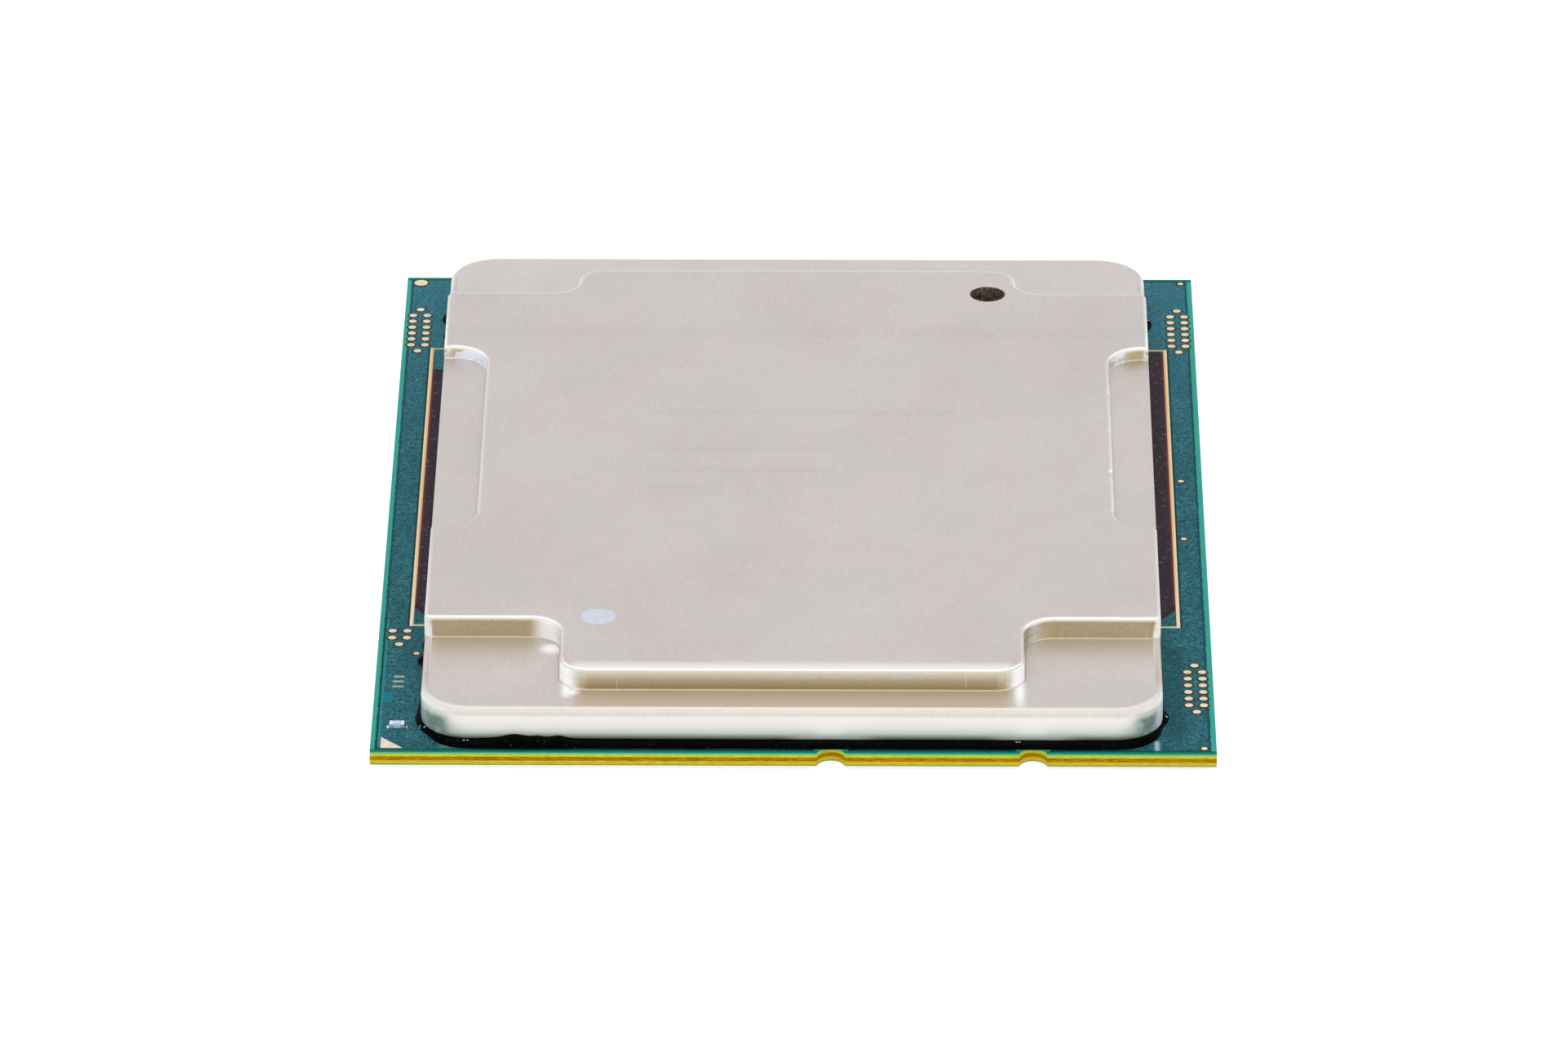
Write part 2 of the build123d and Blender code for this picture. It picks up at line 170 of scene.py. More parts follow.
class Paint:
    """A procedural material, with short calls for the nodes that feed its shader. Lengths are in mm."""

    def __init__(self, name, **fixed):
        self.material = bpy.data.materials.new(name)
        self.material.use_nodes = True
        self.tree = self.material.node_tree
        self.tree.nodes.clear()
        output = self.node("ShaderNodeOutputMaterial")
        self.shader = self.node("ShaderNodeBsdfPrincipled")
        self.tree.links.new(self.shader.outputs["BSDF"], output.inputs["Surface"])
        self.set(**fixed)
        place = self.node("ShaderNodeTexCoord").outputs["Object"]
        scaled = self.node("ShaderNodeVectorMath", operation="SCALE")
        scaled.inputs["Scale"].default_value = 1 / MM
        self.tree.links.new(place, scaled.inputs[0])
        self.place = scaled.outputs[0]
        parts = self.node("ShaderNodeSeparateXYZ")
        self.tree.links.new(self.place, parts.inputs[0])
        self.x, self.y, self.z = parts.outputs
        facing = self.node("ShaderNodeSeparateXYZ")
        self.tree.links.new(self.node("ShaderNodeNewGeometry").outputs["Normal"], facing.inputs[0])
        self.normal_x, self.normal_y, self.normal_z = facing.outputs

    def node(self, kind, **settings):
        made = self.tree.nodes.new(kind)
        for name, value in settings.items():
            setattr(made, name, value)
        return made

    def put(self, socket, value):
        if isinstance(value, bpy.types.NodeSocket):
            self.tree.links.new(value, socket)
        elif isinstance(value, tuple) and len(value) == 3 and socket.type == "RGBA":
            socket.default_value = (*value, 1)
        else:
            socket.default_value = value

    def math(self, operation, a, b=0.0, clamp=False):
        made = self.node("ShaderNodeMath", operation=operation, use_clamp=clamp)
        self.put(made.inputs[0], a)
        self.put(made.inputs[1], b)
        return made.outputs[0]

    def fade(self, value, low, high, to_low=0.0, to_high=1.0):
        """value from low to high becomes to_low to to_high, smoothly, and no more beyond them."""
        made = self.node("ShaderNodeMapRange", interpolation_type="SMOOTHSTEP")
        for socket, number in zip(made.inputs, (value, low, high, to_low, to_high)):
            self.put(socket, number)
        return made.outputs[0]

    def noise(self, size, detail=2.0, rough=0.5, turn=0.0, shift=0.0):
        """Noise from 0 to 1 whose grain is size mm along X, Y and Z, turned round Z by turn degrees."""
        sizes = size if isinstance(size, tuple) else (size,) * 3
        turned = self.node("ShaderNodeMapping", vector_type="TEXTURE")
        self.put(turned.inputs["Vector"], self.place)
        turned.inputs["Location"].default_value = (shift, 0, 0)
        turned.inputs["Rotation"].default_value = (0, 0, math.radians(turn))
        turned.inputs["Scale"].default_value = sizes
        made = self.node("ShaderNodeTexNoise")
        self.put(made.inputs["Vector"], turned.outputs[0])
        made.inputs["Scale"].default_value = 1.0
        made.inputs["Detail"].default_value = detail
        made.inputs["Roughness"].default_value = rough
        return made.outputs[0]

    def mix(self, share, a, b):
        """Colour a where share is 0 and colour b where it is 1, by the node's colour sockets."""
        made = self.node("ShaderNodeMix", data_type="RGBA")
        self.put(made.inputs["Factor"], share)
        self.put(made.inputs[6], a)
        self.put(made.inputs[7], b)
        return made.outputs[2]

    def product(self, share, *others):
        """All the shares multiplied together."""
        for other in others:
            share = self.math("MULTIPLY", share, other)
        return share

    def largest(self, share, *others):
        for other in others:
            share = self.math("MAXIMUM", share, other)
        return share

    def unsigned(self, value):
        return self.math("ABSOLUTE", value)

    def until(self, value, low, high, share=1.0):
        """share up to low, and smoothly down to 0 at high."""
        return self.fade(value, low, high, share, 0.0)

    def between(self, value, rise_from, rise_to, fall_from, fall_to, share=1.0):
        """0, then share from rise_to to fall_from, then 0 again."""
        return self.product(
            self.fade(value, rise_from, rise_to), self.until(value, fall_from, fall_to, share))

    def by_side(self, left, right):
        """left on the part's left half, and right on its right half."""
        return self.fade(self.x, -1.0, 1.0, left, right)

    def inside(self, x_low, x_high, y_low, y_high, soft=0.05):
        """1 inside the rectangle and 0 outside it, with soft edges."""
        return self.product(
            self.between(self.x, x_low - soft, x_low + soft, x_high - soft, x_high + soft),
            self.between(self.y, y_low - soft, y_low + soft, y_high - soft, y_high + soft))

    def distance(self, x, y):
        """How far a point is from the upright line at x, y."""
        made = self.node("ShaderNodeVectorMath", operation="DISTANCE")
        flat = self.node("ShaderNodeCombineXYZ")
        self.put(flat.inputs[0], self.x)
        self.put(flat.inputs[1], self.y)
        self.put(made.inputs[0], flat.outputs[0])
        made.inputs[1].default_value = (x, y, 0)
        return made.outputs["Value"]

    def beyond(self, a, b):
        """The length of the part of (a, b) that is above zero."""
        squares = [self.math("POWER", self.math("MAXIMUM", value, 0.0), 2.0) for value in (a, b)]
        return self.math("SQRT", self.math("ADD", *squares))

    def bump(self, height, distance, strength=1.0):
        """height from 0 to 1 raises the surface by up to distance mm."""
        made = self.node("ShaderNodeBump")
        made.inputs["Strength"].default_value = strength
        made.inputs["Distance"].default_value = distance * MM
        self.put(made.inputs["Height"], height)
        self.put(self.shader.inputs["Normal"], made.outputs[0])

    def set(self, **sockets):
        for socket, value in sockets.items():
            self.put(self.shader.inputs[socket.replace("_", " ")], value)


# Sizes and places on the package and the lid, in mm
MOUNTS = {row["name"]: Vector(row["pos_m"]) / MM for row in frame["record"]["mounts"]}
PACKAGE_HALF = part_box("package_core")[1] / MM
PACKAGE_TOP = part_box("solder_mask_top")[1].z / MM
CORE_LOW_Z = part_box("package_core")[0].z / MM
EDGE_LOW_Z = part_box("solder_mask_bottom")[0].z / MM
NOTCH_RADIUS = 0.94
NOTCHES = [(MOUNTS[name].x, MOUNTS[name].y - NOTCH_RADIUS)
           for name in ("key_notch_middle", "key_notch_right")]
TRACE_LOW, TRACE_HIGH = (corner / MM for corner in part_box("outline_trace_left"))
TRACE_MIDDLE_Y = (TRACE_LOW.y + TRACE_HIGH.y) / 2
TRACE_HALF = (TRACE_HIGH.y - TRACE_LOW.y) / 2
PAD_NODES = ("test_pads_back_left", "test_pads_back_right", "test_pads_front_left", "test_pads_front_right",
             "edge_pads", "fiducial_mark")

# The lid's three levels are its low corners, its grip recesses and its plateau
LID_LOW, LID_HIGH = (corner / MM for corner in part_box("heat_spreader"))
STEP_Z = MOUNTS["front_left_ledge"].z
GRIP_Z = MOUNTS["left_grip_recess"].z
PLATEAU_Z = LID_HIGH.z
LID_CORNER = 3.4
LID_CENTRE_X = -0.12
# The plateau narrows at both ends to this half width, with rounded corners where its back steps in
PLATEAU_HALF_WIDTH = 15.6
PLATEAU_BACK_Y = 30.95
SHOULDER_BACK_Y = 27.1
BACK_CORNER = 1.85
VENT = (13.44, 26.8)
VENT_RADIUS = 1.25

# Where the nickel changes, in mm. A rectangle is X from and to, Y from and to.
BAND_Y = (19.0, 20.0, 20.5, 22.0)       # a darker band across the lid: starts, is full, is full, ends
FRONT_WALL_Y = (-32.6, -32.2)           # the plateau's front wall is in front of this
WALL_ENDS = (24.2, 24.5)                # the end walls fade out at the lid's sides, at this X either way
# The step before the plateau's front, where the wall's reflection is painted
FRONT_STRIP = (-14.7, 14.45, -36.3, -33.3)
# The plateau's inner left corner, whose wall gets a painted highlight
INNER_CORNER = (-17.5, -15.7, -27.6, -25.4)
CHIPPED = (-1.5, 9.4, -34.0, -33.0)
# Pale lilac patches on the grip recesses' walls
LILAC_PATCHES = ((-24.3, -21.6, 14.6, 18.2), (21.4, 23.0, 11.0, 18.2), (21.4, 22.2, 3.5, 11.0))
# Faint bars on the lid's middle, left of centre: lowest X, highest X, middle Y, half height
WORN_BARS = ((-10.3, 11.0, 6.95, 0.42), (-10.3, 2.6, 0.95, 0.42), (-10.3, 2.6, -2.3, 0.42),
             (-10.3, -5.0, -5.5, 0.95))
# Hair scratches: turn in degrees, shift in mm
HAIRS = ((62, 3.1), (-38, 11.7))
# Painted reflections: pale streaks on the step, under the plateau's front corners: which side, how far in
# from the plateau's side, the Y where it ends, its share there
HIGHLIGHT_STREAKS = ((-1, 0.53, -35.1, 0.0), (1, 0.35, -35.7, 0.5))
STREAK_HALF_WIDTH = 0.30
# Painted reflections: pale glows on the step: place, reach, share, and how high above the step it starts and
# stops fading out
HIGHLIGHT_GLOWS = (((-16.35, -27.3), 1.1, 0.9, 0.01, 0.02), ((-14.85, -33.75), 0.8, 0.75, 0.10, 0.14))


def back_edge_distance(paint):
    """How far a point on the plateau is inside the plateau's back outline, which steps in twice."""
    across = paint.unsigned(paint.math("SUBTRACT", paint.x, LID_CENTRE_X))
    past_shoulder = paint.math("SUBTRACT", paint.y, SHOULDER_BACK_Y)
    past_side = paint.math("SUBTRACT", across, PLATEAU_HALF_WIDTH - BACK_CORNER)
    past_back = paint.math("SUBTRACT", paint.y, PLATEAU_BACK_Y - BACK_CORNER)
    nearer = paint.math("MINIMUM", paint.largest(past_side, past_back), 0.0)
    past_block = paint.math("ADD", nearer, paint.beyond(past_side, past_back))
    past_block = paint.math("SUBTRACT", past_block, BACK_CORNER)
    either = paint.largest(paint.math("MINIMUM", past_shoulder, past_block), BACK_CORNER)
    corner = paint.beyond(paint.math("SUBTRACT", BACK_CORNER, past_shoulder),
                          paint.math("SUBTRACT", BACK_CORNER, past_block))
    return paint.math("SUBTRACT", corner, either)


def nickel_ground(paint, streak):
    """The bare surface: short streaks, faint clouds, one darker band, and fine pale and dark specks."""
    cloud = paint.noise((7, 9, 9), detail=3)
    shade = paint.math("ADD", paint.fade(streak, 0.25, 0.75, 0.0, 0.6), paint.fade(cloud, 0.3, 0.7, 0.0, 0.4))
    shade = paint.math("SUBTRACT", shade, paint.between(paint.y, *BAND_Y, 0.22), clamp=True)
    colour = paint.mix(shade, (0.584, 0.532, 0.495), (0.672, 0.620, 0.582))
    grey_green = paint.fade(paint.noise((5, 6, 6), detail=4, rough=0.6, shift=17.0), 0.52, 0.66, 0.0, 0.5)
    colour = paint.mix(grey_green, colour, (0.600, 0.582, 0.530))
    speck = paint.noise(0.16, detail=1, shift=5.0)
    colour = paint.mix(paint.fade(speck, 0.76, 0.82, 0.0, 0.6), colour, (0.80, 0.77, 0.74))
    return paint.mix(paint.until(speck, 0.18, 0.24, 0.45), colour, (0.40, 0.35, 0.32))


def plateau_walls(paint, colour, streak, wall, upright):
    """Yellows the plateau's walls that face along the part by painted reflection, paints shade on their feet
    and under the front one's edge, and chips the front one.
    """
    from_middle = paint.unsigned(paint.x)
    # Painted reflection: the walls that face along the part take a yellow-olive tone, paler high and darker
    # low on the front one
    end_wall = paint.product(
        wall, paint.fade(paint.unsigned(paint.normal_y), 0.72, 0.97),
        paint.fade(paint.z, STEP_Z + 0.05, STEP_Z + 0.15), paint.until(from_middle, *WALL_ENDS, 0.92))
    yellow = paint.mix(paint.fade(streak, 0.3, 0.7), (0.440, 0.365, 0.215), (0.520, 0.445, 0.270))
    front = paint.until(paint.y, *FRONT_WALL_Y)
    high = paint.product(front, paint.fade(paint.z, 4.30, 4.95, 0.0, 0.95))
    yellow = paint.mix(high, yellow, (0.640, 0.590, 0.485))
    low = paint.product(front, paint.until(paint.z, 3.85, 4.35, 0.75))
    yellow = paint.mix(low, yellow, (0.400, 0.310, 0.150))
    colour = paint.mix(end_wall, colour, yellow)
    # Painted shade under the front wall's edge highlight
    under_edge = paint.product(front, paint.until(upright, 0.70, 0.86, 0.6),
                               paint.fade(paint.z, PLATEAU_Z - 0.4, PLATEAU_Z - 0.3))
    colour = paint.mix(under_edge, colour, (0.520, 0.480, 0.400))
    # Painted shade over the highlight on the walls' rounded feet, at the step and the recesses
    for level in (STEP_Z, GRIP_Z):
        foot = paint.product(paint.between(paint.z, level + 0.002, level + 0.008, level + 0.11, level + 0.15),
                             paint.until(from_middle, *WALL_ENDS, 0.85))
        colour = paint.mix(foot, colour, (0.500, 0.430, 0.305))
    chips = paint.fade(paint.noise((0.8, 0.8, 0.16), detail=3, rough=0.6), 0.50, 0.58, 0.0, 0.8)
    chipped = paint.product(paint.inside(*CHIPPED, 0.6), paint.until(upright, 0.3, 0.6), chips,
                            paint.fade(paint.z, PLATEAU_Z - 0.75, PLATEAU_Z - 0.55))
    return paint.mix(chipped, colour, (0.56, 0.60, 0.62))


def plateau_edges(paint, colour, upright):
    """Paints highlights: on the plateau's rounded edges, as a pale line inside its back outline and as a pale
    margin along its front.
    """
    # Painted highlight: a pale line inside the back outline, where the edge's rounded top reflects
    line = paint.product(paint.between(back_edge_distance(paint), 0.02, 0.12, 0.34, 0.46, 0.55),
                         paint.fade(paint.z, PLATEAU_Z - 0.2, PLATEAU_Z - 0.1))
    colour = paint.mix(line, colour, (0.78, 0.74, 0.72))
    # Painted highlight on the rounded top edges, strongest where they face the front
    edge = paint.product(
        paint.between(upright, 0.60, 0.75, 0.97, 0.995),
        paint.fade(paint.z, PLATEAU_Z - 0.3, PLATEAU_Z - 0.2),
        paint.fade(paint.normal_y, -0.35, -0.15, 0.7, 0.2))
    colour = paint.mix(edge, colour, (0.90, 0.87, 0.85))
    across = paint.unsigned(paint.math("SUBTRACT", paint.x, LID_CENTRE_X))
    # Painted highlight: a pale margin along the front edge
    margin = paint.product(
        paint.until(paint.y, -33.1, -31.9, 0.95),
        paint.until(across, PLATEAU_HALF_WIDTH - 1.3, PLATEAU_HALF_WIDTH - 0.6),
        paint.fade(paint.z, PLATEAU_Z - 0.06, PLATEAU_Z - 0.01))
    return paint.mix(margin, colour, (0.900, 0.850, 0.830))


def lid_wear(paint, colour):
    """Adds long hair scratches, each way round, and the faint worn bars."""
    for turn, shift in HAIRS:
        hair = paint.noise((0.12, 9.0, 5.0), detail=1, turn=turn, shift=shift)
        colour = paint.mix(paint.fade(hair, 0.74, 0.80, 0.0, 0.45), colour, (0.80, 0.76, 0.74))
    bars = [paint.inside(low, high, y - half, y + half, 0.15) for low, high, y, half in WORN_BARS]
    return paint.mix(paint.product(paint.largest(*bars), 0.09), colour, (0.40, 0.37, 0.36))


def lilac_recess_patches(paint):
    """How strongly the walls and corners of the grip recesses are patched pale lilac."""
    places = [paint.inside(*corners, 0.15) for corners in LILAC_PATCHES]
    patchy = paint.fade(paint.noise((0.9, 0.9, 0.5), detail=3, rough=0.55), 0.36, 0.48)
    return paint.product(
        paint.largest(*places), patchy,
        paint.between(paint.z, GRIP_Z + 0.02, GRIP_Z + 0.10, PLATEAU_Z - 0.30, PLATEAU_Z - 0.15))


def flange_tints(paint, colour, wall, flange_wall, sideways):
    """Paints a pale reflection on the flange's rounded front edge, dulls its sides, and paints reflections
    and shade on its wall.
    """
    # Painted reflection: the flange's rounded front edge is paled to the sky's beige
    rounded = paint.product(
        paint.between(paint.normal_z, 0.80, 0.90, 0.985, 0.995),
        paint.until(paint.z, STEP_Z - 0.002, STEP_Z, 0.75), paint.until(paint.normal_y, -0.15, -0.05))
    colour = paint.mix(rounded, colour, (0.770, 0.755, 0.700))
    side_edge = paint.product(
        paint.between(sideways, 0.08, 0.30, 0.93, 0.98),
        paint.between(paint.z, STEP_Z - 0.55, STEP_Z - 0.35, STEP_Z + 0.01, STEP_Z + 0.03),
        paint.between(paint.y, -33.5, -31.0, -20.0, 0.0))
    colour = paint.mix(side_edge, colour, (0.480, 0.400, 0.365))

    # Painted reflection: the wall is greener low down, where the green mask reflects in it, and painted shade
    # with the black bead's reflection darkens the foot of its front
    wall_tint = paint.mix(paint.fade(paint.z, 1.9, 2.6), (0.680, 0.725, 0.685), (0.740, 0.720, 0.690))
    colour = paint.mix(paint.product(flange_wall, 0.92), colour, wall_tint)
    painted_bead_shade = paint.product(flange_wall, paint.until(paint.z, 1.42, 2.04, 0.97),
                         paint.until(paint.normal_y, -0.97, -0.72))
    for notch in NOTCHES:
        painted_bead_shade = paint.product(painted_bead_shade, paint.fade(paint.distance(*notch), 2.0, 4.0, 0.35, 1.0))
    colour = paint.mix(painted_bead_shade, colour, (0.025, 0.042, 0.030))

    # Painted reflections: its front corners show grey-green low down, and a bright highlight where they turn
    # to the side
    corner_reflection = paint.product(
        wall, paint.fade(sideways, 0.34, 0.58),
        paint.fade(sideways, 0.80, 0.95, 1.0, paint.by_side(0.7, 0.0)),
        paint.until(paint.z, STEP_Z - 1.1, STEP_Z - 0.6), paint.until(paint.y, -30.0, -28.0, 0.9),
        paint.fade(paint.noise(0.7, detail=3, rough=0.6), 0.30, 0.60, 0.45, 1.0))
    colour = paint.mix(corner_reflection, colour, (0.16, 0.24, 0.205))
    bright = paint.product(
        wall, paint.between(sideways, 0.84, 0.93, 0.985, 0.998), paint.until(paint.y, -33.0, -32.4, 0.75),
        paint.fade(paint.z, STEP_Z - 1.3, STEP_Z - 0.8, paint.by_side(0.15, 1.0), 1.0))
    mint_or_lilac = paint.mix(paint.by_side(0.0, 1.0), (0.66, 0.84, 0.78), (0.84, 0.84, 0.96))
    return paint.mix(bright, colour, mint_or_lilac)


def corner_highlights(paint, wall, sideways):
    """Where highlights are painted on the plateau's corners, and the painted streaks and glows of their
    reflection on the step.
    """
    shares = [
        paint.product(
            wall, paint.fade(sideways, paint.by_side(0.20, 0.34), 0.74), paint.until(sideways, 0.98, 0.995),
            paint.fade(paint.z, STEP_Z + 0.02, STEP_Z + 0.08), paint.until(paint.y, -31.0, -30.5, 0.85)),
        paint.product(paint.inside(*INNER_CORNER, 0.5), wall, 0.75)]
    for side, in_from_side, end_y, end_share in HIGHLIGHT_STREAKS:
        middle = LID_CENTRE_X + side * (PLATEAU_HALF_WIDTH - in_from_side)
        shares.append(paint.product(
            paint.inside(middle - STREAK_HALF_WIDTH, middle + STREAK_HALF_WIDTH, -35.9, -32.0, 0.30),
            paint.until(paint.z, STEP_Z + 0.01, STEP_Z + 0.02, 0.85),
            paint.fade(paint.y, end_y, -33.7, end_share, 1.0)))
    for place, reach, share, fade_from, fade_to in HIGHLIGHT_GLOWS:
        shares.append(paint.product(paint.until(paint.distance(*place), 0.2, reach, share),
                                    paint.until(paint.z, STEP_Z + fade_from, STEP_Z + fade_to)))
    return paint.largest(*shares)


def nickel():
    """Satin nickel: streaked and clouded, yellower on its pressed walls by painted reflection, with painted
    highlights and shade, and pale lilac patches.
    """
    paint = Paint("satin_nickel")
    streak = paint.noise((0.14, 0.50, 0.3), detail=3, rough=0.6)
    grain = paint.noise(0.06, detail=2)
    upright = paint.unsigned(paint.normal_z)
    sideways = paint.unsigned(paint.normal_x)
    wall = paint.until(upright, 0.25, 0.5)
    flange_wall = paint.product(wall, paint.until(paint.z, STEP_Z - 0.65, STEP_Z - 0.45))
    flat_step = paint.product(paint.fade(paint.normal_z, 0.97, 0.99),
                              paint.until(paint.z, STEP_Z + 0.01, STEP_Z + 0.02))

    colour = nickel_ground(paint, streak)
    colour = plateau_walls(paint, colour, streak, wall, upright)
    colour = plateau_edges(paint, colour, upright)
    colour = lid_wear(paint, colour)
    # Pale lilac patches on the grip recesses' walls, rougher there too
    lilac_patches = lilac_recess_patches(paint)
    colour = paint.mix(lilac_patches, colour, (0.80, 0.80, 0.90))
    colour = flange_tints(paint, colour, wall, flange_wall, sideways)
    # Painted reflection: the narrow step before the plateau is dull and browner, standing in for the front
    # wall's olive reflection
    strip = paint.product(paint.inside(*FRONT_STRIP, 0.3), flat_step, 0.6)
    colour = paint.mix(strip, colour, (0.450, 0.300, 0.185))
    # Painted highlights on the plateau's corners and painted reflections of them on the step
    highlight = corner_highlights(paint, wall, sideways)
    colour = paint.mix(highlight, colour, (0.92, 0.91, 0.91))
    # Dark brown and patchy inside the vent
    vent = paint.until(paint.distance(*VENT), VENT_RADIUS + 0.01, VENT_RADIUS + 0.04)
    patchy = paint.fade(paint.noise(0.14, detail=3), 0.38, 0.62)
    vent_colour = paint.mix(patchy, (0.22, 0.14, 0.10), (0.84, 0.70, 0.62))
    colour = paint.mix(vent, colour, vent_colour)

    rough = paint.math("ADD", paint.fade(grain, 0.3, 0.7, 0.34, 0.44), paint.product(lilac_patches, 0.2))
    rough = paint.math("ADD", rough, paint.product(flange_wall, paint.math("SUBTRACT", 0.30, rough)))
    dull = paint.largest(highlight, paint.product(flange_wall, 0.68), strip,
                         paint.product(flat_step, paint.fade(paint.y, -34.5, -30.5, 0.06, 0.17)))
    paint.set(Base_Color=colour, Roughness=rough, Metallic=paint.math("SUBTRACT", 1.0, dull))
    height = paint.math("ADD", paint.product(streak, 0.6), paint.product(grain, 0.4))
    paint.bump(paint.product(height, paint.math("SUBTRACT", 1.0, flange_wall)), 0.004, 0.6)
    return paint.material


def edge_distance(paint):
    """How far a point is from the package's outline and its two notches."""
    from_side = paint.math("SUBTRACT", PACKAGE_HALF[0], paint.unsigned(paint.x))
    from_end = paint.math("SUBTRACT", PACKAGE_HALF[1], paint.unsigned(paint.y))
    nearest = paint.math("MINIMUM", from_side, from_end)
    for notch in NOTCHES:
        from_notch = paint.math("SUBTRACT", paint.distance(*notch), NOTCH_RADIUS)
        nearest = paint.math("MINIMUM", nearest, from_notch)
    return nearest


# Copper and stains that show in the mask, and one painted reflection: X from and to, Y from and to, softness,
# colour
MASK_MARKS_AND_REFLECTION = (
    ((-27.94, -27.80, -37.5, -17.0), 0.04, (0.003, 0.035, 0.045)),
    ((-27.78, -27.62, -37.2, -18.0), 0.04, (0.015, 0.200, 0.190)),
    ((-27.60, -27.00, -30.56, -29.1), 0.04, (0.003, 0.150, 0.210)),
    ((-23.70, -21.40, -37.40, -36.90), 0.25, (0.055, 0.150, 0.165)),
    # Painted reflection: the pale streak that the lid's front right corner throws on the glossy mask
    ((24.16, 24.40, -37.90, -36.1), 0.18, (0.330, 0.480, 0.550)),
    ((26.25, 26.36, TRACE_LOW.y, TRACE_HIGH.y), 0.03, (0.002, 0.035, 0.028)),
    ((-26.36, -26.25, TRACE_LOW.y, TRACE_HIGH.y), 0.03, (0.002, 0.035, 0.028)))
# The mask is darker in this rectangle beside the lid
BESIDE_LID = (24.9, 26.3, -36.0, -22.0)
# The dark strips' front ends slant, and the mask stays dark for this far in front of them
STRIP_OUTER_X = 25.94
STRIP_INNER_X = 24.1
STRIP_FRONT_Y = -15.5
STRIP_SLANT = 1.646
STRIP_TIP = 0.60


def solder_mask():
    """Dark teal lacquer with a bright green rim, darker round the lid with painted shade in front of it, with
    buried copper showing and one painted reflection.
    """
    paint = Paint("teal_solder_mask", Specular_IOR_Level=0.02)
    across = paint.unsigned(paint.x)
    speckle = paint.noise(0.15, detail=3, rough=0.75)
    cloud = paint.noise((2.5, 4, 4), detail=3)
    teal = paint.mix(paint.fade(speckle, 0.36, 0.64), (0.000, 0.020, 0.030), (0.026, 0.168, 0.196))
    blotch = paint.noise(0.32, detail=3, rough=0.6)
    teal = paint.mix(paint.fade(blotch, 0.42, 0.64, 0.0, 0.50), teal, (0.045, 0.175, 0.200))
    teal = paint.mix(paint.fade(blotch, 0.62, 0.70, 0.0, 0.7), teal, (0.110, 0.270, 0.290))
    teal = paint.mix(paint.fade(cloud, 0.35, 0.65, 0.0, 0.35), teal, (0.008, 0.065, 0.095))
    teal = paint.mix(paint.fade(paint.y, 5.0, 36.0, 0.0, 0.3), teal, (0.036, 0.168, 0.228))
    # Painted shade in front of the lid, under the black bead, less towards the corners
    before_lid = paint.product(
        paint.until(paint.y, -37.2, -35.6, 0.85), paint.fade(across, 22.0, 24.3, 1.0, 0.3))
    teal = paint.mix(before_lid, teal, (0.000, 0.044, 0.030))
    teal = paint.mix(paint.product(paint.inside(*BESIDE_LID, 0.4), 0.33), teal, (0.000, 0.020, 0.030))
    for corners, soft, colour in MASK_MARKS_AND_REFLECTION:
        teal = paint.mix(paint.inside(*corners, soft), teal, colour)
    slant = paint.product(paint.math("SUBTRACT", STRIP_OUTER_X, across), STRIP_SLANT)
    tip = paint.product(
        paint.between(paint.math("ADD", paint.y, slant), STRIP_FRONT_Y - STRIP_TIP - 0.15,
                      STRIP_FRONT_Y - STRIP_TIP, STRIP_FRONT_Y + 0.1, STRIP_FRONT_Y + 0.2),
        paint.between(across, STRIP_INNER_X - 0.1, STRIP_INNER_X + 0.1,
                      STRIP_OUTER_X - 0.02, STRIP_OUTER_X + 0.02))
    teal = paint.mix(tip, teal, (0.026, 0.014, 0.020))

    from_edge = edge_distance(paint)
    wavy = paint.math("ADD", from_edge, paint.fade(paint.noise(0.25), 0.3, 0.7, -0.03, 0.03))
    at_end = paint.fade(paint.unsigned(paint.y), PACKAGE_HALF[1] - 0.5, PACKAGE_HALF[1] - 0.4)
    rim_width = paint.math("MINIMUM", paint.by_side(0.30, 0.35), paint.fade(at_end, 0.0, 1.0, 1.0, 0.27))
    past_rim = paint.math("SUBTRACT", wavy, rim_width)
    teal = paint.mix(paint.until(past_rim, 0.08, 0.24, 0.9), teal, (0.001, 0.040, 0.048))
    rim_colour = paint.mix(at_end, (0.028, 0.290, 0.235), (0.000, 0.165, 0.098))
    colour = paint.mix(paint.until(past_rim, -0.04, 0.06), teal, rim_colour)
    colour = paint.mix(paint.until(from_edge, 0.0, 0.02), colour, (0.006, 0.230, 0.118))
    paint.set(Base_Color=colour, Roughness=paint.fade(speckle, 0.3, 0.7, 0.18, 0.34))
    paint.bump(speckle, 0.010, 0.6)
    return paint.material


def cut_resin(name, dark, light, fleck):
    """A sawn laminate edge: short flat fibres in resin, greener by the top and browner under the core."""
    paint = Paint(name, Roughness=0.62, Specular_IOR_Level=0.02)
    fibre = paint.noise((0.6, 0.6, 0.04), detail=3, rough=0.6)
    grain = paint.noise((0.16, 0.16, 0.06), detail=2)
    colour = paint.mix(paint.fade(fibre, 0.3, 0.7), dark, light)
    colour = paint.mix(paint.fade(grain, 0.58, 0.70, 0.0, 0.5), colour, fleck)
    colour = paint.mix(paint.until(paint.z, CORE_LOW_Z, CORE_LOW_Z + 0.05, 0.25), colour, (0.49, 0.11, 0.01))
    lowest = paint.until(paint.z, EDGE_LOW_Z + 0.03, EDGE_LOW_Z + 0.13, 0.65)
    colour = paint.mix(lowest, colour, (0.15, 0.16, 0.05))
    highest = paint.fade(paint.z, PACKAGE_TOP - 0.22, PACKAGE_TOP - 0.07, 0.0, 0.85)
    colour = paint.mix(highest, colour, (0.070, 0.370, 0.150))
    paint.set(Base_Color=colour)
    paint.bump(paint.math("ADD", fibre, grain), 0.01, 0.6)
    return paint.material


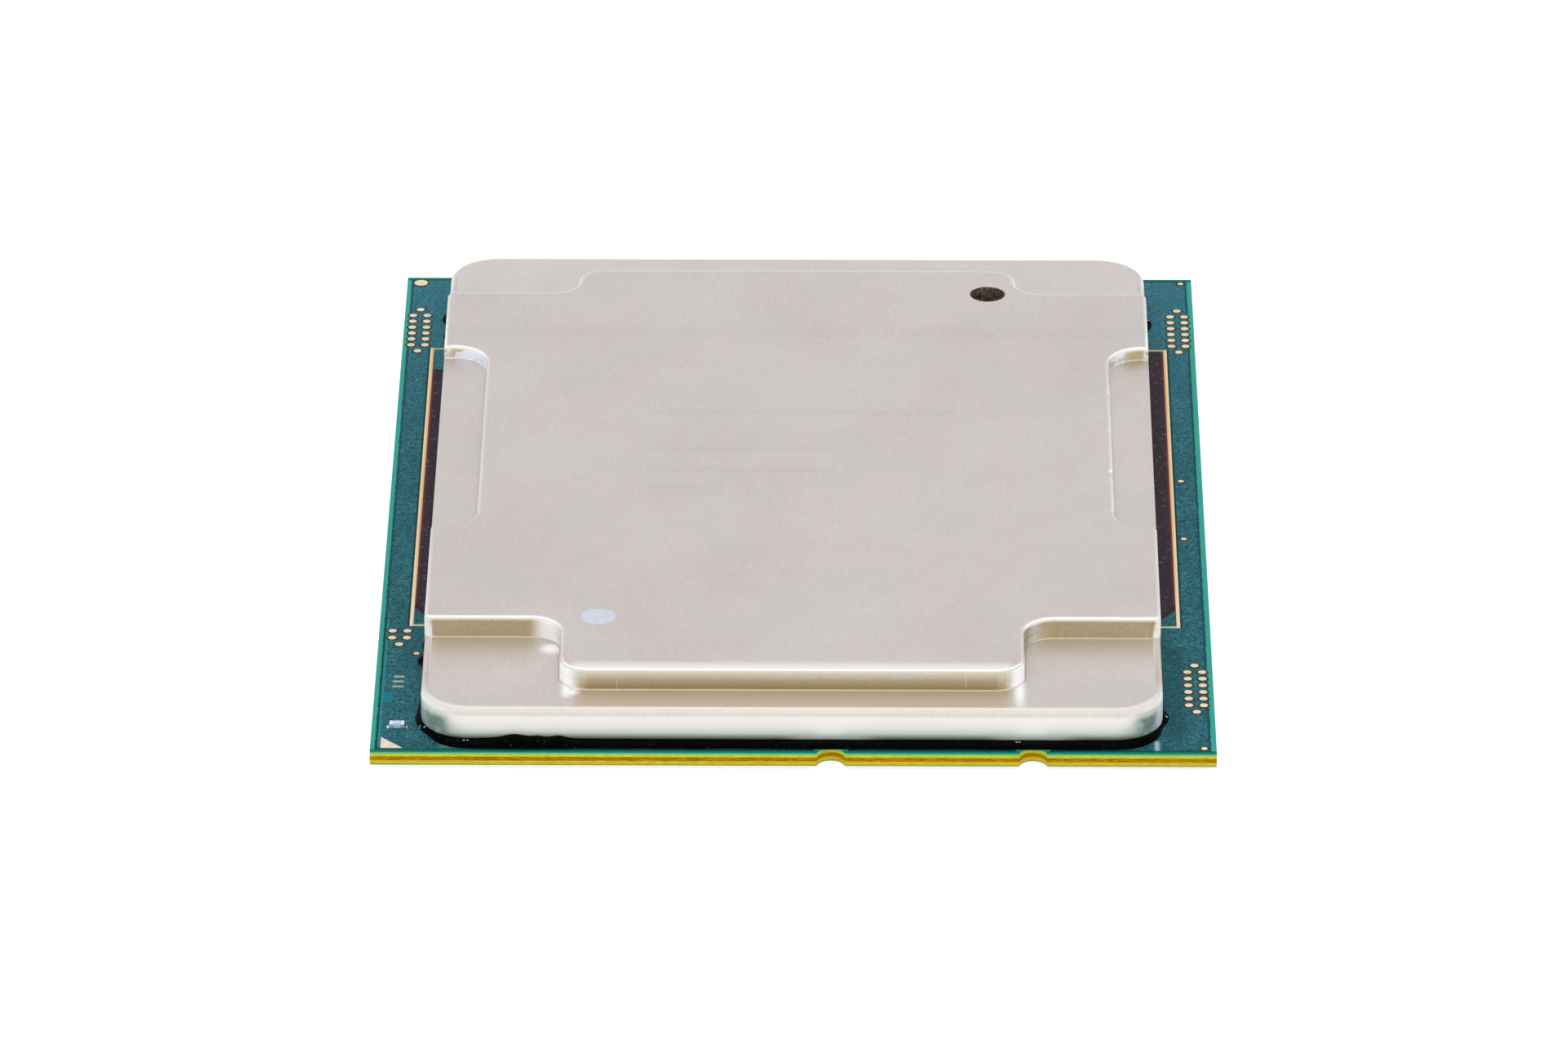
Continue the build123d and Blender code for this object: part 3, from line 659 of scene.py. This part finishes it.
def gold():
    """Dull gold over copper: pale on the pads, and orange with a dark inner edge beside the lid."""
    paint = Paint("dull_gold", Metallic=0.35, Specular_IOR_Level=0.3)
    grain = paint.noise(0.05, detail=3, rough=0.6)
    cloud = paint.noise(0.5, detail=2)
    colour = paint.mix(paint.fade(cloud, 0.3, 0.7), (0.68, 0.55, 0.40), (0.77, 0.66, 0.51))
    colour = paint.mix(paint.fade(grain, 0.6, 0.8, 0.0, 0.4), colour, (0.62, 0.42, 0.22))
    across = paint.unsigned(paint.x)
    along = paint.unsigned(paint.math("SUBTRACT", paint.y, TRACE_MIDDLE_Y))
    on_trace = paint.product(
        paint.until(across, 26.24, 26.28), paint.until(along, TRACE_HALF + 0.1, TRACE_HALF + 0.2),
        paint.fade(paint.z, PACKAGE_TOP - 0.3, PACKAGE_TOP - 0.2))
    line = paint.mix(paint.fade(across, 26.05, 26.17), (0.80, 0.38, 0.16), (0.80, 0.66, 0.38))
    line = paint.mix(paint.until(paint.y, -17.0, -4.0, 0.7), line, (0.84, 0.66, 0.46))
    end_line = paint.mix(paint.fade(paint.y, -1.0, 1.0), (0.52, 0.56, 0.32), (0.46, 0.33, 0.15))
    line = paint.mix(paint.until(across, 25.93, 25.98), line, end_line)
    paint.set(Base_Color=paint.mix(on_trace, colour, line), Roughness=paint.fade(grain, 0.3, 0.7, 0.34, 0.5))
    paint.bump(grain, 0.006, 0.6)
    return paint.material


def plain(name, dark, light, size, rough, metal=0.0, specular=0.5):
    """A finish with two close colours mixed by fine noise, and a little relief."""
    paint = Paint(name, Metallic=metal, Specular_IOR_Level=specular)
    grain = paint.noise(size, detail=3, rough=0.6)
    paint.set(Base_Color=paint.mix(paint.fade(grain, 0.35, 0.65), dark, light),
              Roughness=paint.fade(grain, 0.3, 0.7, rough * 0.85, rough * 1.15))
    paint.bump(grain, 0.005, 0.5)
    return paint.material


# Painted glints on the silicone, standing in for highlights
PAINTED_GLINTS = ((-25.05, -34.4), (-24.68, -34.75), (-22.0, -36.7), (-21.75, -36.7), (14.9, -36.7), (15.1, -36.7),
          (25.12, -32.3), (24.98, -33.0), (25.02, 30.3))


def silicone():
    """Glossy black silicone with a few painted glints."""
    paint = Paint("black_silicone", Specular_IOR_Level=0.01)
    lumps = paint.noise(0.5, detail=2)
    grey = paint.fade(paint.noise(0.25, detail=3, shift=2.0), 0.62, 0.74, 0.0, 0.25)
    colour = paint.mix(grey, (0.0003, 0.0006, 0.0004), (0.06, 0.075, 0.075))
    # Each glint is a painted highlight
    for place in PAINTED_GLINTS:
        colour = paint.mix(paint.until(paint.distance(*place), 0.03, 0.10, 0.9), colour, (0.50, 0.60, 0.68))
    paint.set(Base_Color=colour, Roughness=paint.fade(lumps, 0.3, 0.7, 0.10, 0.16))
    paint.bump(lumps, 0.03, 0.5)
    return paint.material


def dark_strip():
    """Bare resin beside the lid: purple black with pale dust, and red along the gold line."""
    paint = Paint("dark_speckled_strip", Specular_IOR_Level=0.05)
    grain = paint.noise(0.15, detail=3, rough=0.7)
    colour = paint.mix(paint.fade(grain, 0.38, 0.62), (0.006, 0.004, 0.005), (0.044, 0.022, 0.034))
    dust = paint.fade(paint.noise(0.24, detail=2), 0.62, 0.70, 0.0, 0.7)
    colour = paint.mix(dust, colour, (0.15, 0.11, 0.16))
    by_line = paint.fade(paint.unsigned(paint.x), 25.80, 25.90, 0.0, 0.9)
    colour = paint.mix(by_line, colour, (0.16, 0.018, 0.010))
    paint.set(Base_Color=colour, Roughness=paint.fade(grain, 0.3, 0.7, 0.35, 0.55))
    paint.bump(grain, 0.01, 0.5)
    return paint.material


def dress_nodes():
    """Gives every CAD node the material of its slot, and returns the materials by slot."""
    finishes = {
        "nickel_plated_copper": nickel(),
        "solder_mask": solder_mask(),
        "buildup_resin": cut_resin(
            "cut_buildup", (0.37, 0.33, 0.008), (0.55, 0.52, 0.040), (0.62, 0.60, 0.14)),
        "laminate_core": cut_resin("cut_core", (0.16, 0.070, 0.0), (0.40, 0.225, 0.0), (0.50, 0.34, 0.0)),
        "gold": gold(),
        "dark_strip": dark_strip(),
        "sealant": silicone(),
        "silicon": plain("polished_silicon", (0.20, 0.21, 0.24), (0.25, 0.26, 0.29), 2.0, 0.12, metal=0.6),
        "underfill": plain("dark_epoxy", (0.020, 0.017, 0.014), (0.040, 0.034, 0.028), 0.3, 0.35),
        "thermal_metal": plain(
            "soft_grey_metal", (0.55, 0.55, 0.56), (0.68, 0.68, 0.69), 0.5, 0.4, metal=1.0),
        "paint": plain("pale_blue_paint", (0.46, 0.49, 0.55), (0.54, 0.56, 0.63), 0.25, 0.55, specular=0.2),
        "ceramic": plain("fired_ceramic", (0.30, 0.22, 0.15), (0.42, 0.32, 0.22), 0.08, 0.5),
        "tin": plain("bright_tin", (0.62, 0.62, 0.62), (0.80, 0.80, 0.80), 0.08, 0.3, metal=1.0),
        "solder": plain("bright_solder", (0.60, 0.61, 0.63), (0.82, 0.83, 0.85), 0.08, 0.22, metal=1.0)}
    slots = {row["node"]: row["material_slot"] for row in frame["record"]["subparts"]}
    for name, node in NODES.items():
        node.data.materials.clear()
        node.data.materials.append(finishes[slots[name]])
    return finishes


# ---------------------------------------------------------------- pieces made here

def add_piece(name, bm, material, slot, *stands_for):
    """Makes bm an object that rides with the package, and hides the CAD nodes it stands for."""
    mesh = bpy.data.meshes.new(name)
    bm.to_mesh(mesh)
    bm.free()
    mesh.materials.append(material)
    piece = bpy.data.objects.new(name, mesh)
    bpy.context.scene.collection.objects.link(piece)
    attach(piece, "root")
    if stands_for:
        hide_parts(*stands_for)
    return piece


def shade_smooth(piece, angle=30):
    """Smooth shading that keeps flat faces flat and edges sharper than angle crisp."""
    mesh = piece.data
    mesh.shade_smooth()
    mesh.set_sharp_from_angle(angle=math.radians(angle))
    weigh = piece.modifiers.new("weigh_normals", "WEIGHTED_NORMAL")
    weigh.keep_sharp = True
    weigh.weight = 100


WELD = 0.002            # points nearer than this are one
FOOT_RADIUS = 0.12
FOOT_TURN = 50          # the surface turns up by more than this at a foot, in degrees
# Dents in the lid's edges: X, Y, Z, radius, depth
NICKS = ((21.85, -2.45, 5.20, 0.45, 0.16), (21.90, -8.7, 5.20, 0.50, 0.14), (22.05, -10.1, 5.15, 0.4, 0.10),
         (21.85, 4.2, 5.22, 0.35, 0.08), (21.87, 10.4, 5.22, 0.45, 0.10))
NICK_CUTS = (-1, -0.66, -0.33, 0, 0.33, 0.66, 1)


def near(value, target, slack=0.004):
    return abs(value / MM - target) < slack


def is_foot(edge):
    """Whether an edge is where a wall of the plateau or of a recess meets the floor in front of it."""
    if len(edge.link_faces) != 2 or edge.calc_face_angle_signed(0) > -math.radians(FOOT_TURN):
        return False
    return any(all(near(v.co.z, level) for v in edge.verts) for level in (STEP_Z, GRIP_Z))


def faces_round(bm, centre, reach):
    """The faces whose own box, grown by reach, holds centre."""
    def holds(face):
        for i in range(3):
            along = [v.co[i] for v in face.verts]
            if not min(along) - reach < centre[i] < max(along) + reach:
                return False
        return True
    return [face for face in bm.faces if holds(face)]


def cut_up(bm, centre, radius):
    """Cuts the faces round a dent with planes each way, so that they can bend."""
    for axis in (Vector((1, 0, 0)), Vector((0, 1, 0)), Vector((0, 0, 1))):
        for step in NICK_CUTS:
            faces = faces_round(bm, centre, 1.2 * radius)
            edges = {edge for face in faces for edge in face.edges}
            verts = {vertex for face in faces for vertex in face.verts}
            bmesh.ops.bisect_plane(bm, geom=[*verts, *edges, *faces], dist=0.0005 * MM,
                                   plane_co=centre + axis * step * radius, plane_no=axis)


def press(bm, centre, radius, depth):
    """Pushes the surface in, most at the dent's middle and unevenly all over it."""
    for vertex in bm.verts:
        away = (vertex.co - centre).length / MM
        if away < radius:
            share = (1 - (away / radius) ** 2) ** 2 * (0.6 + 0.8 * noise.noise(vertex.co / MM * 3))
            vertex.co -= vertex.normal * depth * share * MM


def refined_lid(material):
    """The lid with its walls' feet rounded, and small dents along the right recess's rim."""
    bm = bmesh.new()
    bm.from_mesh(NODES["heat_spreader"].data)
    bmesh.ops.remove_doubles(bm, verts=bm.verts, dist=WELD * MM)
    bmesh.ops.dissolve_limit(bm, angle_limit=math.radians(0.3), verts=bm.verts, edges=bm.edges)
    for vertex in bm.verts:
        for level in (PLATEAU_Z, STEP_Z, GRIP_Z):
            if near(vertex.co.z, level):
                vertex.co.z = level * MM
    bm.normal_update()
    bmesh.ops.bevel(bm, geom=[edge for edge in bm.edges if is_foot(edge)], offset=FOOT_RADIUS * MM,
                    segments=3, profile=0.5, affect="EDGES", clamp_overlap=False)
    for x, y, z, radius, _ in NICKS:
        cut_up(bm, Vector((x, y, z)) * MM, radius * MM)
    bm.normal_update()
    for x, y, z, radius, depth in NICKS:
        press(bm, Vector((x, y, z)) * MM, radius, depth)
    bmesh.ops.triangulate(bm, faces=[face for face in bm.faces if len(face.verts) > 4],
                          quad_method="BEAUTY", ngon_method="BEAUTY")
    bm.normal_update()
    # Level faces are shaded flat, so the smoothing of their rounded edges doesn't run on over them
    level = [abs(face.normal.z) > 0.99999 for face in bm.faces]
    lid = add_piece("lid_refined", bm, material, "nickel_plated_copper", "heat_spreader")
    shade_smooth(lid)
    for face, flat in zip(lid.data.polygons, level):
        face.use_smooth = not flat


def lid_outline(step=0.25):
    """Points round the lid's foot, each with its outward direction, in mm."""
    centre_x, centre_y = (LID_LOW.x + LID_HIGH.x) / 2, (LID_LOW.y + LID_HIGH.y) / 2
    half_x, half_y = (LID_HIGH.x - LID_LOW.x) / 2 - LID_CORNER, (LID_HIGH.y - LID_LOW.y) / 2 - LID_CORNER
    points = []
    corners = ((1, -1, -90), (1, 1, 0), (-1, 1, 90), (-1, -1, 180))
    for index, (side_x, side_y, start) in enumerate(corners):
        pivot = Vector((centre_x + side_x * half_x, centre_y + side_y * half_y, 0))
        turns = round(math.radians(90) * LID_CORNER / step)
        for turn in range(turns + 1):
            angle = math.radians(start + 90 * turn / turns)
            outward = Vector((math.cos(angle), math.sin(angle), 0))
            points.append((pivot + outward * LID_CORNER, outward))
        next_x, next_y, _ = corners[(index + 1) % 4]
        ahead = Vector((centre_x + next_x * half_x, centre_y + next_y * half_y, 0)) + outward * LID_CORNER
        here = points[-1][0]
        count = round((ahead - here).length / step)
        points += [(here.lerp(ahead, i / count), outward) for i in range(1, count)]
    return points


# The sealant's section: how far it reaches out of the lid's sides and front and in under it, the gap that
# it fills under the lid, and how high it climbs
SEAL_SIDE, SEAL_FRONT = 0.14, 1.02
SEAL_INNER = -3.7
SEAL_TOUCH = -0.005     # the bead's top edge touches the lid this far in
SEAL_GAP = 0.15
SEAL_CLIMB = 0.22
SEAL_ARC_STEPS = 8
# Where the sealant bulges out or climbs the lid: X, Y, spread, extra reach, extra height
BULGES = (
    (-24.97, 30.75, 0.9, 0.42, 0.10), (-24.97, -24.4, 0.6, 0.38, 0.12), (24.73, 30.2, 0.9, 0.40, 0.15),
    (24.73, -32.6, 0.9, 0.30, 0.18), (-24.9, -33.2, 2.0, 0.26, 0.06), (-24.97, -22.0, 0.6, 0.12, 0.03),
    (-18.65, -36.4, 0.9, 0.0, 0.26), (-17.05, -36.4, 0.5, 0.0, 0.14), (-15.7, -36.4, 0.6, 0.0, 0.20),
    (-24.97, 27.8, 0.5, 0.25, 0.05), (-18.2, -36.4, 3.6, 0.10, 0.09), (-24.2, -35.6, 1.2, -0.32, 0.0))


def smooth_share(value, low, high):
    share = min(max((value - low) / (high - low), 0), 1)
    return share * share * (3 - 2 * share)


def bead_section(reach, climb):
    """The sealant's section as points out from the lid's side and up from the package, in mm."""
    section = [(SEAL_INNER, 0.0)]
    for step in range(SEAL_ARC_STEPS + 1):
        angle = math.radians(90 * step / SEAL_ARC_STEPS)
        section.append((reach * math.cos(angle) ** 0.7, climb * math.sin(angle) ** 0.8))
    return section + [(SEAL_TOUCH, SEAL_GAP), (SEAL_INNER, SEAL_GAP)]


def sealant_bead(material):
    """Black silicone: a flat ring under the lid's foot, with an uneven rounded bead squeezed out round it."""
    bm = bmesh.new()
    rings = []
    for place, outward in lid_outline():
        # Uneven in long waves and in short ones, and wider towards the front
        wobble = noise.noise(place * 0.35) * 0.5 + noise.noise(place * 1.3) * 0.25
        front = smooth_share(-outward.y, 0.25, 1.0)
        reach = SEAL_SIDE + (SEAL_FRONT - SEAL_SIDE) * front + wobble * (0.05 + 0.09 * front)
        climb = SEAL_CLIMB + wobble * 0.03
        for x, y, spread, more_reach, more_climb in BULGES:
            share = math.exp(-(((place.x - x) ** 2 + (place.y - y) ** 2) / spread ** 2))
            reach += more_reach * share
            climb += more_climb * share
        rings.append([bm.verts.new((place + outward * out + Vector((0, 0, PACKAGE_TOP + up))) * MM)
                      for out, up in bead_section(reach, climb)])
    count = len(rings[0])
    for ring, after in zip(rings, rings[1:] + rings[:1]):
        for i in range(count):
            j = (i + 1) % count
            bm.faces.new((ring[i], after[i], after[j], ring[j]))
    bmesh.ops.recalc_face_normals(bm, faces=bm.faces)
    bead = add_piece("sealant_bead", bm, material, "sealant", "lid_sealant")
    shade_smooth(bead, angle=50)


def islands(mesh):
    """The separate solids of a mesh: for each, its lowest and highest corner in mm."""
    bm = bmesh.new()
    bm.from_mesh(mesh)
    bmesh.ops.remove_doubles(bm, verts=bm.verts, dist=WELD * MM)
    # A dict keeps its order, so each run finds the solids in the same order
    left = dict.fromkeys(bm.verts)
    boxes = []
    while left:
        stack = [left.popitem()[0]]
        found = list(stack)
        while stack:
            for edge in stack.pop().link_edges:
                for vertex in edge.verts:
                    if vertex in left:
                        del left[vertex]
                        stack.append(vertex)
                        found.append(vertex)
        spread = [[v.co[i] / MM for v in found] for i in range(3)]
        boxes.append((Vector([min(s) for s in spread]), Vector([max(s) for s in spread])))
    bm.free()
    return boxes


RIM_WIDTH = 0.12
RIM_HEIGHT = 0.003
RIM_SINK = 0.012        # the rim's edges go this far in or out as they go down to the mask
RIM_DROP = 0.045        # its outer edge lies this far nearer the front
RIM_SIDES = 28


def circle(bm, x, y, z, radius):
    """Adds RIM_SIDES points round a centre, in mm."""
    turns = [math.tau * i / RIM_SIDES for i in range(RIM_SIDES)]
    return [bm.verts.new(Vector((x + radius * math.cos(turn), y + radius * math.sin(turn), z)) * MM)
            for turn in turns]


def pad_rims(material):
    """The shadowed step of the mask round each pad, a little wider on the near side."""
    bm = bmesh.new()
    for node in PAD_NODES:
        for low, high in islands(NODES[node].data):
            x, y = (low.x + high.x) / 2, (low.y + high.y) / 2
            radius = (high.x - low.x) / 2
            top = PACKAGE_TOP + RIM_HEIGHT
            loops = (circle(bm, x, y, PACKAGE_TOP, radius - RIM_SINK), circle(bm, x, y, top, radius),
                     circle(bm, x, y - RIM_DROP, top, radius + RIM_WIDTH),
                     circle(bm, x, y - RIM_DROP, PACKAGE_TOP, radius + RIM_WIDTH + RIM_SINK))
            for loop, after in zip(loops, loops[1:] + loops[:1]):
                for i in range(RIM_SIDES):
                    j = (i + 1) % RIM_SIDES
                    bm.faces.new((loop[i], after[i], after[j], loop[j]))
    bmesh.ops.recalc_face_normals(bm, faces=bm.faces)
    add_piece("pad_rims", bm, material, "solder_mask")


def box_into(bm, low, high, soft):
    """A box between two corners, its edges rounded by soft, in mm."""
    size = Vector(high) - Vector(low)
    centre = (Vector(high) + Vector(low)) / 2
    stretch = Matrix.Translation(centre * MM) @ Matrix.Diagonal((*(size * MM), 1))
    made = bmesh.ops.create_cube(bm, size=1.0, matrix=stretch)
    edges = {edge for vertex in made["verts"] for edge in vertex.link_edges}
    bmesh.ops.bevel(bm, geom=list(edges), offset=soft * MM, segments=3, profile=0.5, affect="EDGES")


# Three short printed bars near the front left corner
PRINT_X = (-27.05, -26.30)
PRINT_MIDDLES_Y = (-28.20, -27.45, -26.70)
PRINT_HALF = 0.14
PRINT_SINK, PRINT_HEIGHT, PRINT_SOFT = 0.001, 0.005, 0.002


def print_bars(material):
    """A few plain bars in place of the printing."""
    bm = bmesh.new()
    for y in PRINT_MIDDLES_Y:
        box_into(bm, (PRINT_X[0], y - PRINT_HALF, PACKAGE_TOP - PRINT_SINK),
                 (PRINT_X[1], y + PRINT_HALF, PACKAGE_TOP + PRINT_HEIGHT), PRINT_SOFT)
    add_piece("print_bars", bm, material, "paint")


CHIP_SOFT, CAP_SOFT = 0.03, 0.045
SOLDER_OVERLAP = 0.02   # the solder goes this far into the end cap
SOLDER_STEPS = 6
SOLDER_PINCH = 0.35     # the solder is this much smaller at its two sides


def solder_foot(bm, low, high, outward):
    """Solder that climbs an end cap in a hollow curve. outward is -1 or 1, the way along X from the cap."""
    wall_x, toe_x = (high.x, low.x) if outward < 0 else (low.x, high.x)
    profile = [(wall_x - outward * SOLDER_OVERLAP, low.z)]
    for step in range(SOLDER_STEPS + 1):
        share = step / SOLDER_STEPS
        profile.append((toe_x + (wall_x - toe_x) * share, low.z + (high.z - low.z) * share ** 2.2))
    profile.append((wall_x - outward * SOLDER_OVERLAP, high.z))
    slices = []
    for step in range(SOLDER_STEPS + 1):
        across = -1 + step / (SOLDER_STEPS / 2)
        pinch = 1 - SOLDER_PINCH * across ** 4
        y = (low.y + high.y) / 2 + across * (high.y - low.y) / 2
        outline = [(wall_x + (x - wall_x) * pinch, y, low.z + (z - low.z) * pinch) for x, z in profile]
        slices.append([bm.verts.new(Vector(place) * MM) for place in outline])
    for ring, after in zip(slices, slices[1:]):
        for i in range(len(profile)):
            j = (i + 1) % len(profile)
            bm.faces.new((ring[i], ring[j], after[j], after[i]))
    bm.faces.new(slices[0])
    bm.faces.new(slices[-1])


def corner_chip(body_material, end_material, solder_material):
    """The small chip near the triangle: a rounded body, two end caps and a solder foot at each."""
    low, high = (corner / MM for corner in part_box("corner_chip_body"))
    bm = bmesh.new()
    box_into(bm, low, high, CHIP_SOFT)
    shade_smooth(add_piece("chip_body", bm, body_material, "ceramic", "corner_chip_body"))
    bm = bmesh.new()
    for cap_low, cap_high in islands(NODES["corner_chip_terminals"].data):
        box_into(bm, cap_low, cap_high, CAP_SOFT)
    shade_smooth(add_piece("chip_ends", bm, end_material, "tin", "corner_chip_terminals"))
    bm = bmesh.new()
    for foot_low, foot_high in islands(NODES["corner_chip_solder"].data):
        solder_foot(bm, foot_low, foot_high, -1 if foot_low.x < low.x else 1)
    bmesh.ops.recalc_face_normals(bm, faces=bm.faces)
    shade_smooth(add_piece("chip_solder", bm, solder_material, "solder", "corner_chip_solder"), angle=60)


# ---------------------------------------------------------------- the scene

add_camera()
add_world()
add_floor()
add_softbox()
bpy.context.scene.view_settings.view_transform = "Standard"

FINISHES = dress_nodes()
refined_lid(FINISHES["nickel_plated_copper"])
sealant_bead(FINISHES["sealant"])
pad_rims(plain("mask_step_shadow", (0.014, 0.018, 0.006), (0.060, 0.048, 0.012), 0.10, 0.5, specular=0.05))
print_bars(plain("print_ink", (0.22, 0.25, 0.17), (0.42, 0.42, 0.30), 0.12, 0.6, specular=0.2))
corner_chip(
    plain("glazed_chip", (0.36, 0.50, 0.62), (0.50, 0.64, 0.76), 0.1, 0.3),
    plain("chip_end_tin", (0.66, 0.76, 0.84), (0.84, 0.88, 0.92), 0.08, 0.3, metal=0.7),
    FINISHES["solder"])
